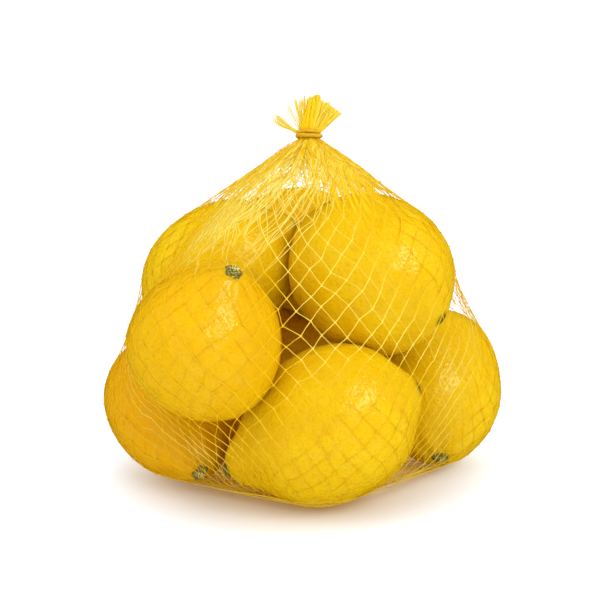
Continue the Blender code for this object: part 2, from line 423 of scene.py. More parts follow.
@dataclass(frozen=True)
class Tubes:
    """A bundle of equally divided tubes with flattened sections, as one mesh."""

    points: np.ndarray
    quads: np.ndarray
    caps: np.ndarray

    @staticmethod
    def along(paths: np.ndarray, outward: np.ndarray, width: np.ndarray, depth: np.ndarray,
              corners: int = 6) -> Tubes:
        """Carry an ellipse along each path.

        A point is the path plus cos(turn) times half the width across the path, plus sin(turn) times half
        the depth outwards.

        Args:
            paths: tube by point by three.
            outward: a vector that points out of the net at each of those points.
            width: half the width there.
            depth: half the depth there.
            corners: the number of sides.

        Returns:
            The tubes, closed at their ends.
        """
        forward = unit(np.gradient(paths, axis=1))
        across = unit(np.cross(outward, forward))
        out = np.cross(forward, across)
        turn = TAU * np.arange(corners) / corners
        ring = (width[..., None, None] * np.cos(turn)[:, None] * across[:, :, None, :]
                + depth[..., None, None] * np.sin(turn)[:, None] * out[:, :, None, :])
        tubes, stations = paths.shape[:2]
        points = (paths[:, :, None, :] + ring).reshape(-1, 3)
        size = stations * corners
        caps = np.stack([np.arange(corners)[::-1], size - corners + np.arange(corners)])
        quads = grid_faces(stations, corners)
        return Tubes(points, repeated(quads, tubes, size), repeated(caps, tubes, size))

    def piece(self, name: str, **numbers: np.ndarray) -> bpy.types.Object:
        """Make the tubes a piece, with the numbers of each station given to the points round it."""
        spread = {title: np.repeat(values.ravel(), len(self.points) // values.size)
                  for title, values in numbers.items()}
        return new_piece(name, self.points, self.quads, self.caps, **spread)


def waves(directions: np.ndarray, seed: int, count: int, slow: float, fast: float) -> np.ndarray:
    """Return smooth unevenness of about one unit over directions.

    It is the sum of count cosines of the direction along random vectors, whose lengths run from slow to
    fast, times the root of 2 / count.

    Args:
        directions: unit vectors.
        seed: which unevenness.
        count: the number of waves.
        slow: the longest wave's number of radians for each unit.
        fast: the shortest wave's.

    Returns:
        One number for each direction.
    """
    chance = np.random.default_rng(seed)
    vectors = unit(chance.normal(size=(count, 3))) * chance.uniform(slow, fast, (count, 1))
    phases = chance.uniform(0, TAU, count)
    total = np.zeros(directions.shape[:-1])
    for vector, phase in zip(vectors, phases):
        total += np.cos(directions @ vector + phase)
    return total * math.sqrt(2 / count)


def bell(angle: np.ndarray, middle: float, spread: float) -> np.ndarray:
    """Return a smooth hill of height one round a middle, that has fallen to a third at the spread."""
    return np.exp(-(((angle - middle) / spread) ** 2))


# ---------------------------------------------------------------------------------------------------------
# Lemons
# ---------------------------------------------------------------------------------------------------------


@dataclass(frozen=True)
class Lemon:
    """One lemon. Lengths are in millimetres and angles in degrees.

    The body is round the axis that its heading and tilt give. Its nipple is at the end that the axis points
    to, or at the other end where blossom is -1.
    """

    name: str
    x: float
    y: float
    z: float
    heading: float
    tilt: float
    half_length: float
    half_width: float
    blossom: int
    nipple: float
    shoulder: float
    seed: int
    warmth_and_shade: float

    FULLNESS = 2.12
    ROWS = 175
    COLUMNS = 256

    def axis(self) -> np.ndarray:
        """Return the direction of the axis."""
        tilt = math.radians(self.tilt)
        return circle(math.cos(tilt), math.radians(self.heading), math.sin(tilt))

    def frame(self) -> np.ndarray:
        """Return the lemon's own axes as rows: towards the nipple, to the side, and across both."""
        along = self.axis() * self.blossom
        side = unit(np.cross(UP, along))
        return np.stack([along, side, np.cross(along, side)])

    def middle(self) -> np.ndarray:
        """Return the middle in metres."""
        return np.array([self.x, self.y, self.z]) * MM

    def radius(self, directions: np.ndarray) -> np.ndarray:
        """Return how far the smooth body reaches from its middle along its own unit directions.

        It is a slightly full egg, plus a blunt nipple at one end with a furrow round it, plus a shoulder with
        creases and a hollow at the stem, plus a little unevenness.

        Args:
            directions: unit vectors on the lemon's own axes.

        Returns:
            The reach in metres.
        """
        along = np.clip(directions[..., 0], -1, 1)
        from_tip = np.arccos(along)
        from_stem = math.pi - from_tip
        turn = np.arctan2(directions[..., 2], directions[..., 1])
        egg = (np.abs(along / self.half_length) ** self.FULLNESS
               + (np.sqrt(1 - along * along) / self.half_width) ** self.FULLNESS) ** (-1 / self.FULLNESS)
        tip = self.nipple * bell(from_tip, 0, 0.2) - 0.8 * bell(from_tip, 0.44, 0.13) * (
            0.7 + 0.3 * np.cos(turn - self.seed))
        creases = 0.35 * bell(from_stem, 0.3, 0.14) * np.cos(7 * turn + self.seed)
        stem = self.shoulder * bell(from_stem, 0, 0.3) - 1.3 * bell(from_stem, 0, 0.11) + creases
        return (egg + tip + stem + 0.55 * waves(directions, self.seed, 7, 1.5, 4.5)) * MM

    def relief(self, directions: np.ndarray) -> np.ndarray:
        """Return the peel's own gentle relief along unit directions, in metres."""
        return (0.07 * waves(directions, self.seed + 50, 36, 14, 30)
                + 0.02 * waves(directions, self.seed + 90, 48, 45, 75)) * MM

    def point(self, directions: np.ndarray, radius: np.ndarray) -> np.ndarray:
        """Return places in the bag from the lemon's own directions and reaches."""
        return self.middle() + (directions * radius[..., None]) @ self.frame()

    def build(self) -> bpy.types.Object:
        """Make the lemon.

        Rows run from the nipple to the stem, closer together at both, and columns run round the axis.

        Returns:
            The dressed piece.
        """
        share = np.linspace(0, 1, self.ROWS + 2)[1:-1, None]
        directions = ball(math.pi * share - 0.2 * np.sin(TAU * share), self.COLUMNS)
        points = self.point(directions, self.radius(directions) + self.relief(directions))
        from_tip = np.arccos(np.clip(directions[:, 0], -1, 1))
        ragged = 1 + 0.25 * waves(directions, self.seed + 7, 12, 20, 60)
        stem_end = 0.55 * bell(math.pi - from_tip, 0, 0.17) * np.clip(ragged, 0, 1.5)
        scar = np.clip(1.6 * bell(from_tip, 0, 0.07) * ragged, 0, 0.9)
        faces = ball_faces(self.ROWS, self.COLUMNS)
        piece = new_piece(self.name, points, *faces, stem_end=stem_end, scar=scar)
        PeelFinish().dress(piece, self.warmth_and_shade)
        return stand_for(piece, FILLED_NET)


# The last number of each lemon is partly painted shade: the lemons low at the back and left, in the bag's
# shade, get the warmest yellow.
LEMONS = (
    Lemon("lemon_front", 9.4, -38.3, 34.1, -5, 25.3, 37, 31.3, 1, 3.8, 10.9, 11, 0.15),
    Lemon("lemon_right", 57.4, 26.9, 34.4, 93, 41, 36, 30, 1, 5, 3.9, 12, 0.1),
    Lemon("lemon_left_low", -57, 4.3, 30.8, 110, 24, 36.5, 28.5, 1, 5, 8.9, 13, 1.0),
    Lemon("lemon_back_low", -10.9, 47.5, 34, 9, -42, 34.3, 30.5, 1, 4, 2.5, 14, 0.9),
    Lemon("lemon_left_middle", -40.2, -51, 71.8, -46, 60.4, 30.1, 30, -1, 5.9, 6.3, 15, 0.6),
    Lemon("lemon_right_top", 28, -9, 92.6, 147, 26, 35.5, 33, -1, 1.7, 3.3, 16, 0.12),
    Lemon("lemon_left_top", -37.1, 8.4, 88.2, 7, 34, 35.5, 29.5, 1, 5, 2.4, 17, 0.0),
    Lemon("lemon_back_top", 5, 51.5, 89.2, -16, -32, 36.2, 27.8, 1, 4, 2.5, 18, 0.4),
)


@dataclass(frozen=True)
class StemButtons:
    """The dried stem buttons, one on each lemon. Lengths are in millimetres."""

    lemons: tuple[Lemon, ...]
    radius: float = 3.7
    lobe: float = 0.09
    lobes: int = 5
    height: float = 1.7
    scar_radius: float = 1.9
    scar_height: float = 0.9
    rings: int = 12
    columns: int = 60
    sink: float = 0.5

    def button(self, lemon: Lemon) -> tuple[np.ndarray, np.ndarray]:
        """Work out one button.

        Over the share of its radius, the height is a flat dome with a raised corky disc in its middle, and
        the rim swells into lobes. The underside is the same outline, sunk into the peel.

        Args:
            lemon: the lemon that it sits on.

        Returns:
            Its points, and how corky each is.
        """
        share = np.linspace(0, 1, self.rings + 1)[1:, None]
        turn = TAU * np.arange(self.columns) / self.columns
        uneven = waves(circle(1, turn, 0), lemon.seed + 30, 8, 2, 6)
        reach = self.radius * share * (1 + share * (self.lobe * np.cos(self.lobes * turn) + 0.09 * uneven))
        rough = 0.14 * waves(circle(reach, turn, 0), lemon.seed + 31, 16, 1.5, 4)
        disc = 1 / (1 + np.exp((reach - self.scar_radius) / 0.22))
        top = self.height * (1 - share**3)
        top = top + self.scar_height * disc * (0.75 + 0.25 * reach / self.scar_radius)
        over = circle(reach, turn, top + rough * (1 - share**6))
        under = over[-1:] * np.array([0.97, 0.97, 0]) - np.array([0, 0, self.sink])
        middle = np.array([[0, 0, self.height + 0.75 * self.scar_height], [0, 0, -self.sink]])
        local = np.concatenate([over.reshape(-1, 3), under.reshape(-1, 3), middle]) * MM
        out = np.array([[-1.0, 0, 0]])
        seat = lemon.point(out, lemon.radius(out))[0]
        along, side, across = lemon.frame()
        corky = np.concatenate([disc.ravel(), np.zeros(self.columns), [1, 0]])
        return seat + local @ np.stack([side, -across, -along]), corky

    def build(self) -> bpy.types.Object:
        """Make all the buttons as one piece."""
        made = [self.button(lemon) for lemon in self.lemons]
        points, cork = (np.concatenate(arrays) for arrays in zip(*made))
        faces = ball_faces(self.rings + 1, self.columns, len(made))
        piece = new_piece("stem_buttons", points, *faces, cork=cork)
        StemFinish().dress(piece)
        return stand_for(piece, FILLED_NET)


# ---------------------------------------------------------------------------------------------------------
# Net
# ---------------------------------------------------------------------------------------------------------


@dataclass(frozen=True)
class Neck:
    """The gathered neck: the foot of its bundle, its swelling shoulder below and its lean. In millimetres."""

    x: float = 1.4
    y: float = -2.0
    height: float = 148.0
    radius: float = 3.4
    lean: float = 15.0
    shoulder_radius: float = 6.4
    shoulder_drop: float = 1.4
    tie_height: float = 1.85

    def place(self, local: np.ndarray) -> np.ndarray:
        """Return places in the bag from the neck's own millimetres, whose third axis leans back."""
        lean = math.radians(self.lean)
        x, y, z = np.moveaxis(np.asarray(local, float), -1, 0)
        return np.stack([self.x + x, self.y + math.cos(lean) * y + math.sin(lean) * z,
                         self.height - math.sin(lean) * y + math.cos(lean) * z], -1) * MM


class Skin:
    """The tightest skin round the lemons and the neck, as a reach from one middle."""

    MIDDLE = np.array([0.0, 0.0, 70.0]) * MM
    NORMALS = 4000
    SAMPLES = 2500
    ROWS = 120
    COLUMNS = 240

    def __init__(self, lemons: tuple[Lemon, ...], neck: Neck) -> None:
        """Work out the skin on a table of directions.

        Along each direction it is the nearest of the planes that touch the lemons and the neck from outside.

        Args:
            lemons: the lemons inside.
            neck: the neck above them.
        """
        normals = self.spread(self.NORMALS)
        samples = self.spread(self.SAMPLES)
        surface = [lemon.point(samples, lemon.radius(samples)) for lemon in lemons]
        reach = np.max([(points @ normals.T).max(0) for points in surface], axis=0)
        level = np.hypot(normals[:, 0], normals[:, 1])
        for radius, drop in ((neck.radius, 0.0), (neck.shoulder_radius, neck.shoulder_drop)):
            reach = np.maximum(reach, normals @ neck.place([0.0, 0.0, -drop]) + radius * MM * level)
        reach = reach - normals @ self.MIDDLE
        polar = np.linspace(0, math.pi, self.ROWS)[:, None]
        turn = TAU * np.arange(self.COLUMNS) / self.COLUMNS
        facing = circle(np.sin(polar), turn, np.cos(polar)).reshape(-1, 3) @ normals.T
        with np.errstate(divide="ignore"):
            distances = np.where(facing > 0.05, reach / facing, np.inf)
        self.table = distances.min(1).reshape(self.ROWS, self.COLUMNS)

    @staticmethod
    def spread(count: int) -> np.ndarray:
        """Return unit directions spread evenly along a spiral."""
        number = np.arange(count) + 0.5
        height = 1 - 2 * number / count
        turn = number * math.pi * (3 - math.sqrt(5))
        return circle(np.sqrt(1 - height * height), turn, height)

    def reach(self, points: np.ndarray) -> tuple[np.ndarray, np.ndarray]:
        """Return how far each point is from the middle, and how far the skin is there."""
        offset = points - self.MIDDLE
        distance = np.linalg.norm(offset, axis=-1)
        row = np.arccos(np.clip(offset[..., 2] / distance, -1, 1)) / math.pi * (self.ROWS - 1)
        column = (np.arctan2(offset[..., 1], offset[..., 0]) / TAU % 1) * self.COLUMNS
        low_row = np.clip(row.astype(int), 0, self.ROWS - 2)
        low_column = column.astype(int) % self.COLUMNS
        down, along = row - low_row, column - column.astype(int)
        next_column = (low_column + 1) % self.COLUMNS
        upper, lower = (self.table[level, low_column] * (1 - along) + self.table[level, next_column] * along
                        for level in (low_row, low_row + 1))
        return distance, upper * (1 - down) + lower * down


@dataclass
class Net:
    """The net: a tube of diamond meshes, pulled tight over the lemons. Lengths are in millimetres.

    Row 0 is at the neck and the last row is gathered under the lemons. Odd rows stand half a mesh round.
    """

    lemons: tuple[Lemon, ...]
    neck: Neck
    meshes: int = 56
    rows: int = 38
    side: float = 7.4
    strand_width: float = 0.155
    strand_depth: float = 0.13
    steps: int = 1200
    parts: int = 4
    seed: int = 5

    BALLOON = np.array([112.0, 106.0, 95.0])
    FOOT = np.array([0.0, -6.0, 0.5])
    FOOT_RADIUS = 3.0
    SLACK = 0.12
    EVENING = 0.05
    LEAN = 0.58
    PAINTED_LIGHT_ON_GAPS = 0.7
    LONG_FOLDS = 5
    SHORT_FOLDS = 4
    FOLD_STATIONS = 24
    FOLD_ENDS = 7
    FOLD_JOIN = 3
    CREASES = ((0.6, 4.2, 0.12), (0.5, 4.6, 0.08))
    PLEATS = 280
    HEM = 13
    HEM_STATIONS = 600
    HEM_TRIES = 40
    BEAD = np.array([0.5, 0.38, 0.24])

    def __post_init__(self) -> None:
        """Lay the net round the lemons as a wide balloon, ready to be pulled tight."""
        self.chance = np.random.default_rng(self.seed)
        self.skin = Skin(self.lemons, self.neck)
        self.apex = self.neck.place(np.zeros(3))
        share = np.linspace(0, 1, self.rows + 1)[:, None]
        place = np.arange(self.meshes)[None] + 0.5 * (np.arange(self.rows + 1) % 2)[:, None]
        self.turn = TAU * place / self.meshes
        balloon = circle(np.sin(share * math.pi), self.turn, np.cos(share * math.pi)) * self.BALLOON
        self.knots = balloon * MM + self.skin.MIDDLE
        rim = self.neck.radius * 0.95 * (0.8 + 0.2 * self.chance.random(self.meshes))
        self.top = self.neck.place(circle(rim, self.turn[0], 0.4))
        self.foot = (self.FOOT + circle(self.FOOT_RADIUS, self.turn[-1], 0)) * MM
        self.pairs = [self.pair(parity, ahead) for parity in (0, 1) for ahead in (0, 1)]
        self.lengths = [self.side * MM * (1 + 0.15 * self.chance.normal(size=upper[0].shape + (1,)))
                        for upper, _ in self.pairs]

    def pair(self, parity: int, ahead: int) -> tuple[tuple, tuple]:
        """Return the knots at both ends of every strand that leaves rows of one parity one way."""
        row = np.arange(parity, self.rows, 2)[:, None] + np.zeros((1, self.meshes), int)
        column = np.arange(self.meshes)[None] + np.zeros_like(row)
        return (row, column), (row + 1, (column + parity - 1 + ahead) % self.meshes)

    def outside(self, points: np.ndarray, clearance: float) -> np.ndarray:
        """Move points out of the lemons and the floor.

        A point nearer to a lemon's middle than its surface there, plus the clearance, moves straight out to
        it. Low down and near the neck, a point also stays close to the tightest skin.

        Args:
            points: places in the bag.
            clearance: the distance to keep, in metres.

        Returns:
            The places, moved.
        """
        flat = points.reshape(-1, 3).copy()
        distance, skin = self.skin.reach(flat)
        slack = np.interp(flat[:, 2], [12 * MM, 45 * MM], [1.2 * MM, 9 * MM])
        near = np.linalg.norm(flat - self.apex, axis=1)
        slack = np.minimum(slack, np.interp(near, [5 * MM, 30 * MM], [0.3 * MM, 9 * MM]))
        wanted = np.maximum(distance, skin - slack)
        flat = self.skin.MIDDLE + (flat - self.skin.MIDDLE) * (wanted / distance)[:, None]
        flat = self.clear_of_lemons(flat, clearance)
        flat[:, 2] = np.maximum(flat[:, 2], clearance + 0.1 * MM)
        return flat.reshape(points.shape)

    def clear_of_lemons(self, points: np.ndarray, clearance: float) -> np.ndarray:
        """Return the points, with those inside each lemon in turn moved straight out of it."""
        flat = points.reshape(-1, 3).copy()
        for lemon in self.lemons:
            offset = flat - lemon.middle()
            distance = np.linalg.norm(offset, axis=1)
            near = np.flatnonzero(distance < (max(lemon.half_length, lemon.half_width) + 12) * MM)
            toward = offset[near] / distance[near, None]
            surface = lemon.radius(toward @ lemon.frame().T) + clearance
            inside = distance[near] < surface
            flat[near[inside]] = lemon.middle() + toward[inside] * surface[inside, None]
        return flat.reshape(points.shape)

    def sunk(self, points: np.ndarray, depth: np.ndarray) -> np.ndarray:
        """Return the points moved towards the bag's middle by depths in millimetres."""
        return points - unit(points - self.skin.MIDDLE) * (depth * MM)[..., None]

    def painted_gap_light(self, points: np.ndarray) -> np.ndarray:
        """Return painted light on strands: from 0 on the lemons or near the neck to 1 where they cross gaps.
        """
        near = np.linalg.norm(points - self.apex, axis=-1)
        return (np.interp(self.lift(points), [6 * MM, 15 * MM], [0, 1])
                * np.interp(near, [35 * MM, 60 * MM], [0, 1]))

    def lift(self, points: np.ndarray) -> np.ndarray:
        """Return how far points are from the nearest lemon's surface, in metres."""
        nearest = np.full(points.shape[:-1], 1.0)
        for lemon in self.lemons:
            offset = points - lemon.middle()
            distance = np.linalg.norm(offset, axis=-1)
            surface = lemon.radius(offset / distance[..., None] @ lemon.frame().T)
            nearest = np.minimum(nearest, distance - surface)
        return nearest

    def tighten(self) -> None:
        """Pull the net tight.

        Each step draws both ends of every strand towards its length, strongly where it is stretched and
        weakly where it is slack, evens each knot a little towards its four neighbours, and moves the knots
        out of the lemons. The first and last rows stay at the neck and the foot.
        """
        clearance = self.strand_depth * MM
        for _ in range(self.steps):
            knots = self.knots
            for (upper, lower), length in zip(self.pairs, self.lengths):
                gap = knots[lower] - knots[upper]
                size = np.linalg.norm(gap, axis=-1, keepdims=True)
                share = np.where(size > length, 0.5, 0.5 * self.SLACK) * (1 - length / np.maximum(size, 1e-9))
                knots[upper] += gap * share
                knots[lower] -= gap * share
            evened = knots.copy()
            for parity in (0, 1):
                row = np.arange(2 - parity, self.rows, 2)
                turn = 1 if row[0] % 2 == 0 else -1
                above, below = knots[row - 1], knots[row + 1]
                evened[row] = (above + np.roll(above, turn, 1) + below + np.roll(below, turn, 1)) / 4
            knots += self.EVENING * (evened - knots)
            knots = self.outside(knots, clearance)
            knots[0], knots[-1] = self.top, self.foot
            self.knots = knots

    def strands(self, ahead: int) -> np.ndarray:
        """Return the knots that each strand of one family passes, strand by row."""
        parity = np.arange(self.rows + 1) % 2
        step = np.concatenate([[0], np.cumsum(parity - 1 + ahead)[:-1]])
        column = (np.arange(self.meshes)[:, None] + step[None]) % self.meshes
        return self.knots[np.arange(self.rows + 1)[None], column]

    def gathered(self, points: np.ndarray) -> np.ndarray:
        """Fold points near the neck into pleats.

        The distance from the neck's axis changes by cosines of the turn round it, and drops in two deep
        creases at the front, which all fade down the bag.

        Args:
            points: places in the bag.

        Returns:
            The places, folded.
        """
        offset = points - self.apex
        down = np.linalg.norm(offset, axis=-1)
        turn = np.arctan2(offset[..., 1], offset[..., 0])
        fade = np.clip(1 - down / (34 * MM), 0, 1) ** 0.7 * np.clip(down / (2 * MM) - 1, 0, 1)
        fold = 0.11 * np.cos(9 * turn + 0.7) + 0.07 * np.cos(14 * turn + 2.1)
        for depth, middle, spread in self.CREASES:
            fold = fold - depth * bell(turn % TAU, middle, spread)
        swing = 0.05 * np.sin(9 * turn + 0.7) + 0.05 * np.sin(23 * turn)
        span = fade * np.hypot(offset[..., 0], offset[..., 1])
        return points + circle(span * fold, turn, 0) + circle(span * swing, turn + math.pi / 2, 0)

    def build_family(self, name: str, ahead: int) -> bpy.types.Object:
        """Make the strands that run one way.

        Each strand goes straight from knot to knot, pushed out of the lemons between them, a little wider at
        the knots. Each family is thicker on the side of the bag that it leans to.

        Args:
            name: the piece's name.
            ahead: which family.

        Returns:
            The dressed piece.
        """
        path = self.divided(self.strands(ahead))
        drift = self.chance.normal(size=path.shape) * 0.07 * MM
        path = self.outside(path + drift, self.strand_depth * MM * (0.75 + 0.25 * ahead))
        path = self.gathered(path)
        path[..., 2] = np.maximum(path[..., 2], 0.3 * MM)
        stations = path.shape[1]
        place = np.arange(stations) % self.parts
        knot = np.where(place == 0, 1.25, np.where((place == 1) | (place == self.parts - 1), 1.0, 0.9))
        own = 1 + 0.1 * self.chance.normal(size=(self.meshes, stations))
        side = path[..., 0] / np.hypot(path[..., 0], path[..., 1])
        lean = 1 + self.LEAN * (1 - 2 * ahead) * side
        width = self.strand_width * MM * knot * own * lean
        depth = self.strand_depth * MM * (0.9 + 0.1 * knot)
        shade = 0.95 + 0.14 * self.chance.random((self.meshes, 1)) + 0.4 * (1 - lean)
        # Painted light: strands that cross the shaded gaps are painted pale, as if lit.
        shade = shade - self.PAINTED_LIGHT_ON_GAPS * self.painted_gap_light(path)
        return self.finish(self.tubes(path, width, depth).piece(name, shade=shade))

    def on_row(self, row: np.ndarray, place: np.ndarray) -> np.ndarray:
        """Return points of rows of knots at places round them, in meshes, by straight parts."""
        column = place - 0.5 * (row % 2)
        first = np.floor(column).astype(int)
        share = (column - first)[..., None]
        here, beyond = self.knots[row, first % self.meshes], self.knots[row, (first + 1) % self.meshes]
        return here * (1 - share) + beyond * share

    def sheet(self, row: np.ndarray, place: np.ndarray) -> np.ndarray:
        """Return points of the net between its rows, at places round it, by straight parts."""
        low = np.clip(row.astype(int), 0, self.rows - 1)
        share = (row - low)[..., None]
        return self.on_row(low, place) * (1 - share) + self.on_row(low + 1, place) * share

    def hill(self, place: np.ndarray, middle: float, spread: float) -> np.ndarray:
        """Return a smooth hill of height one over places round the net, in meshes, about one angle."""
        return bell((place / self.meshes * TAU - middle + math.pi) % TAU - math.pi, 0.0, spread)

    def tubes(self, paths: np.ndarray, width: np.ndarray, depth: np.ndarray, corners: int = 6) -> Tubes:
        """Return strands along paths of the net, with half their widths and depths."""
        return Tubes.along(paths, paths - self.skin.MIDDLE, width, depth, corners)

    def build_folds(self, name: str, layers: int, furthest: float, further: float,
                    finish: StrandFinish) -> bpy.types.Object:
        """Make folds of spare net that lie on one another near the neck.

        A fold lays the net over itself, a third of a mesh aside, so its strands cross as the net's own do.
        Each goes straight down and round, half a mesh for each row, swings over to one of the net's own
        strands in its last three rows and ends with it at a knot. Folds reach furthest down at the left.

        Args:
            name: the piece's name.
            layers: how many folds there are for each mesh round the net.
            furthest: how many rows down the longest reaches.
            further: how many more at the left.
            finish: how they look.

        Returns:
            The dressed piece.
        """
        mesh = np.arange(self.meshes)[None, :, None, None]
        sign = np.array([-1, 1])[None, None, :, None]
        shape = (layers, self.meshes, 2, 1)
        leftward = self.hill(mesh, 4.2, 0.7)
        reach = (furthest + further * leftward) * self.chance.uniform(0.5, 1.0, shape)
        reach = np.maximum(np.round(reach), 5)
        station = np.arange(self.FOLD_STATIONS)
        free = self.FOLD_STATIONS - self.FOLD_ENDS
        last = reach - self.FOLD_JOIN
        row = np.where(station < free, last * station / free, last + 0.5 * (station - free))
        share = row / reach
        join = np.clip((row - last) / 2, 0, 1)
        layer = np.arange(layers)[:, None, None, None]
        aside = (layer % 2 - 0.5) / 1.5 + self.chance.uniform(-0.12, 0.12, layer.shape)
        aside = aside + 0.04 * self.chance.normal(size=shape)
        place = mesh + 0.5 * (reach % 2) + 0.5 * sign * (reach - row) + aside * (1 - join)
        deep = np.linspace(0.3, 1.8, layers)[layer] * self.chance.uniform(0.5, 1.5, shape)
        paths = self.sunk(self.sheet(row, place), deep * (1 - share))
        paths = self.gathered(paths.reshape(-1, self.FOLD_STATIONS, 3))
        paths = self.clear_of_lemons(paths, 0.6 * self.strand_depth * MM)
        own = 1 + 0.12 * self.chance.normal(size=paths.shape[:2])
        own = own * np.interp(share.reshape(own.shape), [0.6, 1], [1, 0.65]) * MM
        tubes = self.tubes(paths, self.strand_width * own, self.strand_depth * own, 5)
        shade = 0.6 + 0.15 * self.chance.uniform(-1, 1, shape)
        # Painted highlight: folds at the front pleat and at the left are painted paler, as if lit.
        shade = shade - 0.35 * (self.hill(mesh, 4.55, 0.28) + leftward)
        return self.finish(tubes.piece(name, shade=np.clip(shade + 0 * row, 0, 1)), finish)

    def build_pleats(self) -> bpy.types.Object:
        """Make the flat pleats under the folds, where spare net lies so thick that it closes.

        A pleat's width is its share of the net there, times what is left of its length, and its end sinks
        inwards. They reach furthest down and lie closest at the front right.

        Returns:
            The dressed piece.
        """
        count = self.PLEATS
        home = (np.arange(count) + self.chance.uniform(-0.35, 0.35, count))[:, None] * self.meshes / count
        rightward = self.hill(home, 5.25, 0.6)
        reach = (2.5 + 6.5 * rightward) * self.chance.uniform(0.7, 1.1, (count, 1))
        share = np.linspace(0, 1, self.FOLD_STATIONS)[None]
        row = reach * share
        place = home + 0 * row
        path = self.sheet(row, place)
        beside = self.sheet(row, place + self.meshes / count)
        width = (1.1 + 0.7 * rightward) * np.linalg.norm(beside - path, axis=-1) * (1 - share)
        deep = self.chance.uniform(0.8, 1.2, (count, 1)) * np.interp(row, [0, 1], [0.3, 1.0])
        path = self.clear_of_lemons(self.gathered(self.sunk(path, deep)), 0.5 * self.strand_depth * MM)
        path = self.sunk(path, np.interp(share, [0.5, 1], [0, 1.2]))
        tubes = self.tubes(path, np.maximum(width, 0.12 * MM), 0.2 * MM + 0.12 * width)
        shade = 0.6 + 0.12 * self.chance.uniform(-1, 1, (count, 1)) + 0.4 * rightward
        return self.finish(tubes.piece("net_pleats", shade=np.clip(shade + 0 * row, 0, 1)), SOLID)

    def build_hem(self) -> bpy.types.Object:
        """Make the strands that bunch along the net's lowest edge.

        Each goes once round the tightest skin at its own height, which rises and falls by three cosines of
        the turn. A point of it is found from outside: the distance from the bag's middle line is shortened
        by how far the point is outside the skin, over and over.

        Returns:
            The dressed piece.
        """
        turn = math.pi / 2 + TAU * np.linspace(0, 1, self.HEM_STATIONS)[None]
        height = np.linspace(0.6, 6.5, self.HEM)[:, None]
        for waves_round in (3, 7, 12):
            phase = self.chance.uniform(0, TAU, (self.HEM, 1))
            height = height + 1.9 / (waves_round + 1) * height**0.5 * np.cos(waves_round * turn + phase)
        height = np.maximum(height, 0.4) * MM
        span = np.full_like(height, self.BALLOON[0] * MM)
        for _ in range(self.HEM_TRIES):
            points = circle(span, turn, height)
            distance, skin = self.skin.reach(points)
            span = span * np.minimum(skin / distance, 1)
        path = self.outside(points, self.strand_depth * MM)
        own = (1.15 + 0.15 * self.chance.normal(size=path.shape[:2])) * MM
        tubes = self.tubes(path, self.strand_width * own, self.strand_depth * own)
        shade = 0.4 + 0.3 * self.chance.random((self.HEM, 1)) + 0 * turn
        return self.finish(tubes.piece("net_hem", shade=shade))

    def divided(self, corners: np.ndarray) -> np.ndarray:
        """Return strands with straight parts between their knots."""
        share = (np.arange(self.parts) / self.parts)[None, None, :, None]
        between = corners[:, :-1, None] * (1 - share) + corners[:, 1:, None] * share
        return np.concatenate([between.reshape(len(corners), -1, 3), corners[:, -1:]], 1)

    @staticmethod
    def finish(piece: bpy.types.Object, finish: StrandFinish = StrandFinish()) -> bpy.types.Object:
        """Dress a piece of the net and let it stand for the filled net."""
        finish.dress(piece)
        return stand_for(piece, FILLED_NET)

    def build_knots(self) -> bpy.types.Object:
        """Make the knots.

        Each is a small lumpy bead, wider than it is deep, with three rings of six points.

        Returns:
            The dressed piece.
        """
        places = self.gathered(self.outside(self.knots[2:-2], 0.3 * MM)).reshape(-1, 3)
        count = len(places)
        out = unit(places - self.skin.MIDDLE)
        along = unit(np.cross(out, unit(self.chance.normal(size=(count, 3)))))
        bead = ball(np.linspace(0, math.pi, 5)[1:-1, None], 6)
        near = np.linalg.norm(places - self.apex, axis=-1)
        scale = np.interp(near, [6 * MM, 30 * MM], [0.5, 1.0])[:, None, None]
        lump = (1 + 0.16 * self.chance.normal(size=(count, len(bead), 1))) * scale
        axes = np.stack([along, np.cross(out, along), out], 1)
        points = places[:, None] + np.einsum("bk,nkj->nbj", bead * self.BEAD * MM, axes) * lump
        # Painted light: knots over the shaded gaps are painted pale, as if lit.
        shade = 0.8 + 0.2 * self.chance.random(count) - self.PAINTED_LIGHT_ON_GAPS * self.painted_gap_light(places)
        piece = new_piece("net_knots", points.reshape(-1, 3), *ball_faces(3, 6, count),
                          shade=np.repeat(shade, len(bead)))
        return self.finish(piece)

    def build(self) -> list[bpy.types.Object]:
        """Pull the net tight and make its pieces."""
        self.tighten()
        return [self.build_family("net_strands_right", 1), self.build_family("net_strands_left", 0),
                self.build_folds("net_folds_long", self.LONG_FOLDS, 6.4, 7.6, THIN),
                self.build_folds("net_folds_short", self.SHORT_FOLDS, 5.0, 3.0, FOLDED),
                self.build_pleats(), self.build_hem(), self.build_knots()]


@dataclass(frozen=True)
class Spray:
    """A spray of cut strands in the tuft, in millimetres from the tie's middle.

    Its strands start between two places across the tie and end on the line between two points (across, up).
    """

    count: int
    start: tuple
    first: tuple
    last: tuple
    half_width: float
    amber: float
    ragged: float = 0.5


